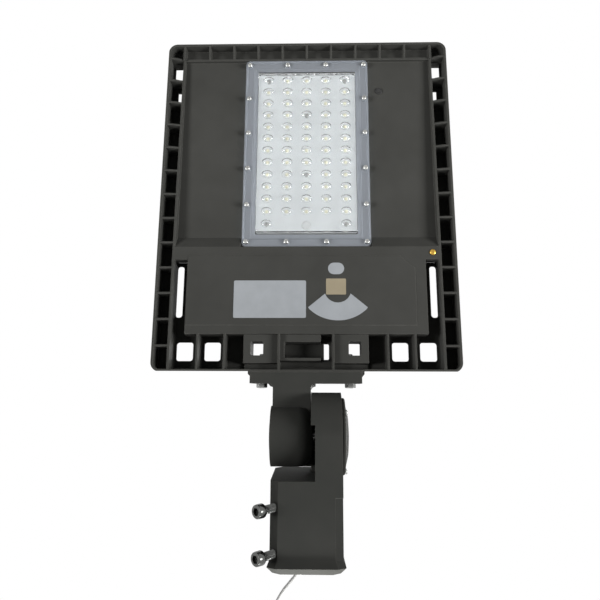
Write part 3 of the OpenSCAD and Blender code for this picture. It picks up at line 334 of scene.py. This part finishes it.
# It hangs from the channel behind the bore. The photo shows only its start.
cable_points = [(-3.7, 39.05, -0.8), (-5.6, 39.4, -8), (-9.3, 40, -16), (-16, 41, -24), (-24, 42, -34),
                (-31, 43, -48), (-35.5, 44, -68), (-37.5, 44, -94), (-38, 44, -126), (-37, 44, -158),
                (-36, 44, -190), (-35.5, 44, -219), (-35.5, 44, -248)]
CABLE_D = 8


def eased(points, steps):
    """The points on one smooth line through all of these, as the CAD source draws it."""
    p = [Vector(q) for q in points]
    p = [2 * p[0] - p[1]] + p + [2 * p[-1] - p[-2]]
    line = []
    for a, b, c, d in zip(p, p[1:], p[2:], p[3:]):
        for j in range(steps):
            u = j / steps
            line.append(0.5 * (2 * b + (c - a) * u + (2 * a - 5 * b + 4 * c - d) * u ** 2
                               + (3 * b - a - 3 * c + d) * u ** 3))
    return line + [p[-2]]


def cable_curve(name, line, width, material):
    """A round cable along a line of points, as a curve with a round section."""
    curve = bpy.data.curves.new(name, "CURVE")
    curve.dimensions = "3D"
    curve.bevel_depth = width / 2 * MM
    curve.bevel_resolution = 5
    curve.use_fill_caps = True
    spline = curve.splines.new("POLY")
    spline.points.add(len(line) - 1)
    for point, at in zip(spline.points, line):
        point.co = (*(at * MM), 1)
    spline.use_smooth = True
    curve.materials.append(material)
    made = bpy.data.objects.new(name, curve)
    bpy.context.scene.collection.objects.link(made)
    return made


cable_line = eased(cable_points, 3)
sheath = cable_curve("supply_cable_sheath", cable_line, CABLE_D, sheath_grey)
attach(sheath, "fitter")
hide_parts("supply_cable")


def cable_cores():
    """Three insulated cores that fan out of the sheath, each stripped to a tuft of copper strands."""
    bm = bmesh.new()
    end = Vector(cable_points[-1])
    core_r, strand_r, strands = 1.3, 0.24, 7
    for i in range(3):
        out = Vector((math.cos(math.tau * i / 3), math.sin(math.tau * i / 3), 0))
        start, tip = end + 1.9 * out, end + 3.3 * out + Vector((0, 0, -17.6))
        lean = (start - tip).to_track_quat("Z", "Y").to_matrix().to_4x4()
        place = Matrix.Translation(tip) @ lean
        reach = (start - tip).length
        made = turned(bm, [(0, 5.0), (1.15, 5.0), (core_r, 5.25), (core_r, reach), (0, reach)], 12, place)
        for v in made:
            for f in v.link_faces:
                f.material_index = i
        for k in range(strands):
            a = math.tau * k / (strands - 1)
            r = 0 if k == strands - 1 else 0.52
            made = turned(bm, [(0, 0), (strand_r, 0.15), (strand_r, 6)], 6,
                          place @ Matrix.Translation((r * math.cos(a), r * math.sin(a), 0.15 * (k % 3))))
            for v in made:
                for f in v.link_faces:
                    f.material_index = 3
    return piece("supply_cable_cores", bm, "fitter", [brown_pvc, blue_pvc, green_pvc, copper],
                 ["cable_cores"])


cores = cable_cores()


# ---------------------------------------------------------------- lens module

# Heights on the head are counted from its lower end, and depths from the frame's origin.
LENS_X, LENS_Z = 21.8, 14.55          # distances between lenses
COLUMNS, ROWS = 5, 13
FIRST_ROW, WINDOW_Y = 336.3, 4.0
DOME_W, DOME_H = 6.3, 4.9             # half the width and height of an oval dome
WINDOW_W = 55.6                       # half the width of the window
COVER = (140, 226, 248)               # width, height and the height of its middle
FLANGE_Y, FLANGE_SEAT_Y = 7.2, 3.0    # the flange's back, and the seats of its screws
BOARD_Y = 6.4                         # the board's face
LEAD_H = 160                          # height of the hole for the LED leads
BOARD_SCREWS = ((0, 0), (0, 4), (3, 2), (8, 2), (12, 0), (12, 4))   # rows and columns of their lenses
SCREW_SPOTS = [(x, 248 + (i - 2.5) * 42.9) for i in range(6) for x in (-65.5, -21.83, 21.83, 65.5)
               if i in (0, 5) or abs(x) > 50]


def lens_at(c):
    """The column and row of the lens cell that a point of the flat window lies in."""
    return int((c.x + COLUMNS * LENS_X / 2) // LENS_X), int((ROWS * LENS_Z / 2 - c.y) // LENS_Z)


def lens_window():
    """The clear window with its oval domes: a grid of cells, each pushed out to a dome of equal wall."""
    bm = bmesh.new()
    cut = 6
    bmesh.ops.create_grid(bm, x_segments=COLUMNS * cut, y_segments=ROWS * cut, size=0.5)
    wide, tall = COLUMNS * LENS_X, ROWS * LENS_Z
    bmesh.ops.scale(bm, vec=(wide, tall, 1), verts=bm.verts)
    cells = {}
    for f in bm.faces:
        cells.setdefault(lens_at(f.calc_center_median()), []).append(f)
    for faces in cells.values():
        bmesh.ops.dissolve_faces(bm, faces=faces)
    bm.faces.ensure_lookup_table()
    domes = []
    for f in bm.faces:
        c = f.calc_center_bounds()
        column, row = lens_at(c)
        if row < ROWS - 1 or column in (0, COLUMNS - 1):
            domes.append((f, c))
    rings = [(1.0, 0.0), (0.97, 0.4), (0.9, 0.95), (0.78, 1.6), (0.62, 2.2), (0.43, 2.65), (0.21, 2.93)]
    faces = [f for f, c in domes]
    for share, rise in rings:
        bmesh.ops.inset_individual(bm, faces=faces, thickness=0.01, depth=0)
        for f, c in domes:
            for v in f.verts:
                a = math.atan2((v.co.y - c.y) / DOME_H, (v.co.x - c.x) / DOME_W)
                v.co = (c.x + DOME_W * share * math.cos(a), c.y + DOME_H * share * math.sin(a), rise)
    bmesh.ops.poke(bm, faces=faces, offset=0.02)
    border = [e for e in bm.edges if e.is_boundary]
    rim = bmesh.ops.extrude_edge_only(bm, edges=border)["geom"]
    for v in rim:
        if isinstance(v, bmesh.types.BMVert):
            v.co.x *= WINDOW_W / (wide / 2)
            v.co.y = v.co.y * 1.013 - 1.3
    made = piece("lens_window", bm, "head", [clear_lens], ["lens_cover"], 30,
                 looking_out(0, WINDOW_Y, FIRST_ROW + LENS_Z / 2 - tall / 2))
    wall = made.modifiers.new("wall", "SOLIDIFY")
    wall.thickness = 1.3 * MM
    wall.offset = -1
    return made


def framed(bm, wide, tall, corner, profile):
    """A frame with rounded corners: its outer edge is extruded ring by ring along a profile, whose points
    say how far in from the outside they lie, and how high."""
    before = set(bm.verts)
    bmesh.ops.create_grid(bm, x_segments=1, y_segments=1, size=0.5)
    verts = [v for v in bm.verts if v not in before]
    bmesh.ops.transform(bm, matrix=Matrix.Diagonal((wide, tall, 1, 1)), verts=verts)
    bmesh.ops.bevel(bm, geom=verts, offset=corner, affect="VERTICES", segments=6, profile=0.5,
                    material=-1)
    ring = [v for v in bm.verts if v not in before]
    edges = [e for e in bm.edges if e.verts[0] in ring]
    bmesh.ops.delete(bm, geom=list({f for v in ring for f in v.link_faces}), context="FACES_ONLY")
    inset, radius = 0, corner
    for inwards, up in profile:
        if (inwards, up) != profile[0]:
            raised = bmesh.ops.extrude_edge_only(bm, edges=edges)["geom"]
            ring = [v for v in raised if isinstance(v, bmesh.types.BMVert)]
            edges = [e for e in raised if isinstance(e, bmesh.types.BMEdge) and e.verts[0] in ring
                     and e.verts[1] in ring]
        rounder = max(corner - inwards, 0.6)
        for v in ring:
            side = Vector((math.copysign(1, v.co.x), math.copysign(1, v.co.y)))
            old, new = inset + radius, inwards + rounder
            centre = Vector((side.x * (wide / 2 - old), side.y * (tall / 2 - old)))
            towards = (v.co.xy - centre) / radius
            centre = Vector((side.x * (wide / 2 - new), side.y * (tall / 2 - new)))
            v.co = (*(centre + towards * rounder), up)
        inset, radius = inwards, rounder


def lens_flange():
    """The moulded frame round the window: skirt, outer lip, gutter and inner ledge, with screw bosses."""
    bm = bmesh.new()
    wide, tall, middle = COVER
    framed(bm, wide, tall, 5, [(0, 0), (0, 3.5), (0.2, 3.95), (0.6, 4.2), (2.1, 4.2), (2.6, 3.0),
                               (8.8, 3.0), (9.3, 4.0), (11.2, 4.0), (11.6, 3.5), (14.1, 3.5),
                               (14.3, 2.9)])
    for x, h in SCREW_SPOTS:
        turned(bm, [(1.9, 2.6), (1.9, 4.0), (3.5, 4.0), (3.9, 3.7), (3.9, 2.6)], 20,
               Matrix.Translation((x, h - middle, 0)))
    made = piece("lens_flange", bm, "head", [frosted_lens], (), 30, looking_out(0, FLANGE_Y, middle))
    wall = made.modifiers.new("wall", "SOLIDIFY")
    wall.thickness = 1.0 * MM
    wall.offset = -1
    return made


def under_lens(row, column):
    """The place on the board's face below a lens."""
    return looking_out((column - COLUMNS // 2) * LENS_X, BOARD_Y, FIRST_ROW - row * LENS_Z)


def led_packages():
    """One LED under each lens: a ceramic body with rounded edges and a low phosphor dome."""
    bm = bmesh.new()
    for row in range(ROWS):
        for column in range(COLUMNS):
            if (row, column) in BOARD_SCREWS or row == ROWS - 1:
                continue
            place = under_lens(row, column)
            body = bmesh.ops.create_cube(bm, size=1, matrix=place @ Matrix.Translation((0, 0, 0.3))
                                         @ Matrix.Diagonal((5, 5, 0.6, 1)))["verts"]
            edges = {e for v in body for e in v.link_edges}
            bmesh.ops.bevel(bm, geom=list(edges), offset=0.15, affect="EDGES", segments=1, profile=0.5,
                            material=-1)
            dome = turned(bm, [(1.9, 0.6), (1.75, 1.0), (1.3, 1.35), (0.7, 1.52), (0, 1.58)], 14, place)
            for v in dome:
                for f in v.link_faces:
                    f.material_index = 1
    return piece("led_packages", bm, "head", [package_white, phosphor], ["leds"], 40)


def flange_screws():
    """Pan-head machine screws with hexagonal sockets."""
    bm = bmesh.new()
    for x, h in SCREW_SPOTS:
        place = looking_out(x, FLANGE_SEAT_Y, h)
        turned(bm, [(1.5, -1.0), (1.5, 0.0), (2.75, 0), (2.9, 0.15), (2.9, 0.7), (2.7, 1.3), (2.2, 1.75),
                    (1.6, 1.95)], 20, place)
        socket(bm, 1.6, 1.25, 1.95, 1.2, 20, place)
    return piece("lens_flange_screws", bm, "head", [stainless], ["lens_screws"], 40)


def board_screws():
    """Low pan-head screws that hold the board down, each under a lens that has no LED."""
    bm = bmesh.new()
    for row, column in BOARD_SCREWS:
        place = under_lens(row, column)
        turned(bm, [(2.6, 0), (2.6, 0.2), (2.2, 0.8), (1.5, 1.1)], 16, place)
        socket(bm, 1.5, 0.95, 1.1, 0.6, 16, place)
    return piece("board_fixing_screws", bm, "head", [zinc], (), 40)


def lead_seal():
    """Soft seal where the LED leads come up through the board."""
    bm = bmesh.new()
    turned(bm, [(5.2, 0), (5.2, 0.25), (4.9, 0.5), (3.4, 0.7), (0, 0.75)], 24,
           looking_out(0, BOARD_Y, LEAD_H))
    return piece("led_lead_seal", bm, "head", [white_silicone], (), 40)


lens_window()
lens_flange()
led_packages()
flange_screws()
board_screws()
lead_seal()


# ---------------------------------------------------------------- screws, bolts and the vent

LID_Y, PLATE_Y, STRIP_Y = 54.5, 8.5, -1.0     # the rear lid's back, the bay's face, the rim's front
BOLT_Y, BOLT_Z = 22, 171.2                    # the arm bolts: their depth and the underside of their heads


def lid_screws():
    """Socket-head screws of the rear lid, with low rounded heads."""
    bm = bmesh.new()
    for x in (-121.3, -40.43, 40.43, 121.3):
        for h in (44.7, 115.6):
            place = looking_back(x, LID_Y, h)
            turned(bm, [(0, -12.5), (1.6, -12.5), (2, -12), (2, 0), (3.65, 0), (3.8, 0.2), (3.8, 1.4),
                        (3.5, 2.0), (2.9, 2.4)], 24, place)
            socket(bm, 2.9, 1.55, 2.4, 1.4, 24, place)
    return piece("lid_socket_screws", bm, "head", [stainless], ["lid_screws"], 40)


def arm_bolts():
    """Hexagon-head bolts under the arm's plate, with chamfered corners, and their threaded shanks."""
    bm = bmesh.new()
    for x in (-46.5, 46.5):
        place = Matrix.Translation((HEAD_X + x, BOLT_Y, BOLT_Z))
        turned(bm, [(0, 0.35), (3.0, 0.35), (3.3, 0), (4.7, 0), (5.75, 0.6), (5.75, 4.0), (2.6, 4.0)], 6,
               place)
        turned(bm, [(2.6, 4.0), (3, 4.5), (3, 34.6), (2.5, 35.5), (0, 35.5)], 20, place)
    return piece("arm_hexagon_bolts", bm, "head", [zinc], ["arm_bolts"], 25)


def cap_screws():
    """Pan-head screws round the wiring cap, with hexagonal sockets."""
    bm = bmesh.new()
    for turn in (20, 140, 260):
        place = (Matrix.Translation((0, TILT_Y, TILT_Z)) @ Matrix.Rotation(math.radians(turn), 4, "X")
                 @ Matrix.Translation((38.1, 34.5, 0)) @ Matrix.Rotation(math.radians(90), 4, "Y"))
        turned(bm, [(0, -11.1), (1.2, -11.1), (1.5, -10.7), (1.5, 0), (2.7, 0), (2.8, 0.1), (2.8, 0.8),
                    (2.5, 1.4), (1.9, 1.8)], 20, place)
        socket(bm, 1.9, 1.15, 1.8, 1.0, 20, place)
    return piece("cap_socket_screws", bm, "fitter", [stainless], ["cap_screws"], 40)


def slotted(bm, half_width, depth, above, place):
    """Cuts a straight slot across the top of a head, whose top lies higher than above."""
    for x in (-half_width, half_width):
        bmesh.ops.bisect_plane(bm, geom=bm.verts[:] + bm.edges[:] + bm.faces[:], plane_co=(x, 0, 0),
                               plane_no=(1, 0, 0))
    faces = [f for f in bm.faces
             if abs(f.calc_center_median().x) < half_width and f.calc_center_median().z > above]
    floor = bmesh.ops.extrude_face_region(bm, geom=faces)["geom"]
    verts = [v for v in floor if isinstance(v, bmesh.types.BMVert)]
    bmesh.ops.delete(bm, geom=[f for f in faces if f.is_valid], context="FACES_ONLY")
    bmesh.ops.translate(bm, vec=(0, 0, -depth), verts=verts)
    bmesh.ops.transform(bm, matrix=place, verts=bm.verts)


def earth_screw():
    """Slotted brass screw on the strip between the bay and the box."""
    bm = bmesh.new()
    turned(bm, [(0, -7), (1.6, -7), (2, -6.5), (2, 0), (3.1, 0), (3.25, 0.15), (3.2, 0.7), (2.7, 1.2),
                (1.4, 1.5), (0, 1.6)], 28)
    slotted(bm, 0.4, 0.7, 0.9, looking_out(134.5, STRIP_Y, 127.3))
    return piece("slotted_earth_screw", bm, "head", [brass], ["earth_screw"], 35)


def breather_vent():
    """Black vent plug: a low mushroom cap with a groove round it, on a stem through the plate."""
    bm = bmesh.new()
    turned(bm, [(0, -5), (2.6, -5), (3, -4.6), (3, 0), (4, 0), (4, 0.8), (3.7, 1.15), (3.0, 1.25),
                (2.9, 0.95), (2.5, 0.95), (2.4, 1.3), (1.2, 1.38), (0, 1.4)], 28,
           looking_out(83, PLATE_Y, 324))
    return piece("vent_plug", bm, "head", [black_nylon], ["breather_vent"], 35)


lid_screws()
arm_bolts()
cap_screws()
earth_screw()
breather_vent()


# ---------------------------------------------------------------- clamp screws

CLAMP_TURN, CLAMP_LEAN = 225, 96      # degrees: round to the front left corner, and down past level


def clamp_screw(name, node, body, h):
    """A socket-head cap screw: knurled head with a hexagonal socket, and a threaded shank."""
    bm = bmesh.new()
    tip, shank, head, r = 32.15, 24.5, 8.0, 6.5     # tip: how far the point stands from the pole's axis
    pitch, major, minor = 1.25, 4.0, 3.35
    turns = int((shank - 1.6) / pitch)
    thread = ((minor, 0), (major, pitch * 0.4), (major, pitch * 0.6), (minor, pitch))
    profile = [bm.verts.new((q, 0, z)) for q, z in thread]
    edges = [bm.edges.new(pair) for pair in zip(profile, profile[1:])]
    steps = 24
    bmesh.ops.spin(bm, geom=profile + edges, cent=(0, 0, 0), axis=(0, 0, 1), dvec=(0, 0, pitch / steps),
                   angle=math.tau * turns, steps=steps * turns)
    bmesh.ops.translate(bm, vec=(0, 0, 0.6), verts=bm.verts)
    turned(bm, [(0, 0), (2.6, 0), (3.3, 0.7), (minor, 2.0)], 24)
    turned(bm, [(minor, turns * pitch - 1), (minor, shank - 0.9), (major, shank - 0.6), (major, shank)],
           24)
    knurls = 60
    before = set(bm.verts)
    turned(bm, [(major, shank), (5.9, shank), (6.3, shank + 0.4), (6.3, shank + 0.7)], knurls)
    turned(bm, [(6.3, shank + 0.7), (r, shank + 0.9), (r, shank + 6.1), (6.3, shank + 6.3)], knurls)
    turned(bm, [(6.3, shank + 6.3), (6.3, shank + 7.4), (5.8, shank + head), (4.9, shank + head)], knurls)
    for v in bm.verts:
        if v not in before and abs(v.co.xy.length - r) < 0.01:
            turn = round(math.atan2(v.co.y, v.co.x) / math.tau * knurls)
            if turn % 2:
                v.co.xy *= 6.28 / r
    socket(bm, 4.9, 3.95, shank + head, 4.2, knurls)
    place = (Matrix.Translation((0, 0, h)) @ Matrix.Rotation(math.radians(CLAMP_TURN), 4, "Z")
             @ Matrix.Rotation(math.radians(CLAMP_LEAN), 4, "Y") @ Matrix.Translation((0, 0, tip)))
    return piece(name, bm, body, [nickel], [node], 30, place)


clamp_screw("upper_clamp_socket_screw", "upper_clamp_screw", "upper_screw", 61.5)
clamp_screw("lower_clamp_socket_screw", "lower_clamp_screw", "lower_screw", 21.5)


# ---------------------------------------------------------------- studio

def studio_floor(z):
    """A plain pale floor that fades into the white round it, and keeps the object's shadow."""
    bm = bmesh.new()
    bmesh.ops.create_grid(bm, x_segments=1, y_segments=1, size=1.2,
                          matrix=Matrix.Translation((0, 0, z * MM)))
    mesh = bpy.data.meshes.new("studio_floor")
    bm.to_mesh(mesh)
    bm.free()
    floor = bpy.data.objects.new("studio_floor", mesh)
    bpy.context.scene.collection.objects.link(floor)
    material = bpy.data.materials.new("white_paper_floor")
    material.use_nodes = True
    tree = material.node_tree
    tree.nodes.clear()
    paper = add(tree, "ShaderNodeBsdfDiffuse", {"Color": paint("E8E8E8")})
    glow = add(tree, "ShaderNodeEmission", {"Color": (1, 1, 1, 1), "Strength": 0.80})
    both = add(tree, "ShaderNodeAddShader", {0: paper.outputs[0], 1: glow.outputs[0]})
    seen = add(tree, "ShaderNodeMixShader",
               {0: seen_directly(tree), 1: paper.outputs[0], 2: both.outputs[0]})
    flat = add(tree, "ShaderNodeVectorMath", {0: where(tree), 1: (1, 1, 0)}, operation="MULTIPLY")
    away = add(tree, "ShaderNodeVectorMath", {0: flat.outputs[0]}, operation="LENGTH").outputs["Value"]
    fade = add(tree, "ShaderNodeMapRange", {"Value": away, "From Min": 0.35, "From Max": 1.0},
               interpolation_type="SMOOTHSTEP").outputs[0]
    none = add(tree, "ShaderNodeBsdfTransparent")
    faded = add(tree, "ShaderNodeMixShader", {0: fade, 1: seen.outputs[0], 2: none.outputs[0]})
    add(tree, "ShaderNodeOutputMaterial", {"Surface": faded.outputs[0]})
    mesh.materials.append(material)


def seen_directly(tree):
    """1 for the rays that show the background itself: from the camera, in gloss and through glass, and
    not for the light that a matt surface gathers."""
    path = add(tree, "ShaderNodeLightPath")
    first = add(tree, "ShaderNodeMath", {0: path.outputs["Is Camera Ray"],
                                         1: path.outputs["Is Glossy Ray"]}, operation="MAXIMUM")
    any_of = add(tree, "ShaderNodeMath", {0: first.outputs[0],
                                          1: path.outputs["Is Transmission Ray"]}, operation="MAXIMUM")
    early = add(tree, "ShaderNodeMath", {0: path.outputs["Diffuse Depth"], 1: 0.5},
                operation="LESS_THAN")
    return add(tree, "ShaderNodeMath", {0: any_of.outputs[0], 1: early.outputs[0]},
               operation="MULTIPLY").outputs[0]


def lamp(name, at, towards, size, power, spread_deg):
    """A soft rectangular lamp that the camera doesn't see, in metres and watts."""
    light = bpy.data.lights.new(name, "AREA")
    light.shape = "RECTANGLE"
    light.size, light.size_y = size
    light.energy = power
    light.spread = math.radians(spread_deg)
    made = bpy.data.objects.new(name, light)
    made.location = at
    made.rotation_euler = (Vector(towards) - Vector(at)).to_track_quat("-Z", "Y").to_euler()
    made.visible_camera = False
    bpy.context.scene.collection.objects.link(made)


def studio():
    """A white surround, and lamps from the right front, the left, below the fitter's lip and behind."""
    scene = bpy.context.scene
    scene.view_settings.view_transform = "Standard"
    world = bpy.data.worlds.new("studio")
    scene.world = world
    world.use_nodes = True
    tree = world.node_tree
    tree.nodes.clear()
    soft = add(tree, "ShaderNodeBackground", {"Color": (1, 1, 1, 1), "Strength": 0.05})
    white = add(tree, "ShaderNodeBackground", {"Color": (1, 1, 1, 1), "Strength": 1.0})
    mixed = add(tree, "ShaderNodeMixShader",
                {0: seen_directly(tree), 1: soft.outputs[0], 2: white.outputs[0]})
    add(tree, "ShaderNodeOutputWorld", {"Surface": mixed.outputs[0]})
    studio_floor(-266.5)
    lamp("key", (1.26, -0.76, 0.10), (0, 0, 0.45), (0.6, 0.5), 2.5, 58)
    lamp("side", (-1.20, -0.90, 0.15), (0, 0, 0.48), (0.5, 0.5), 1.25, 48)
    lamp("bounce", (0, -0.055, -0.12), (0, -0.04, 0), (0.08, 0.03), 0.55, 180)
    lamp("back", (0.45, 1.35, 0.30), (0, 0, 0.30), (0.8, 0.6), 2.4, 76)


studio()
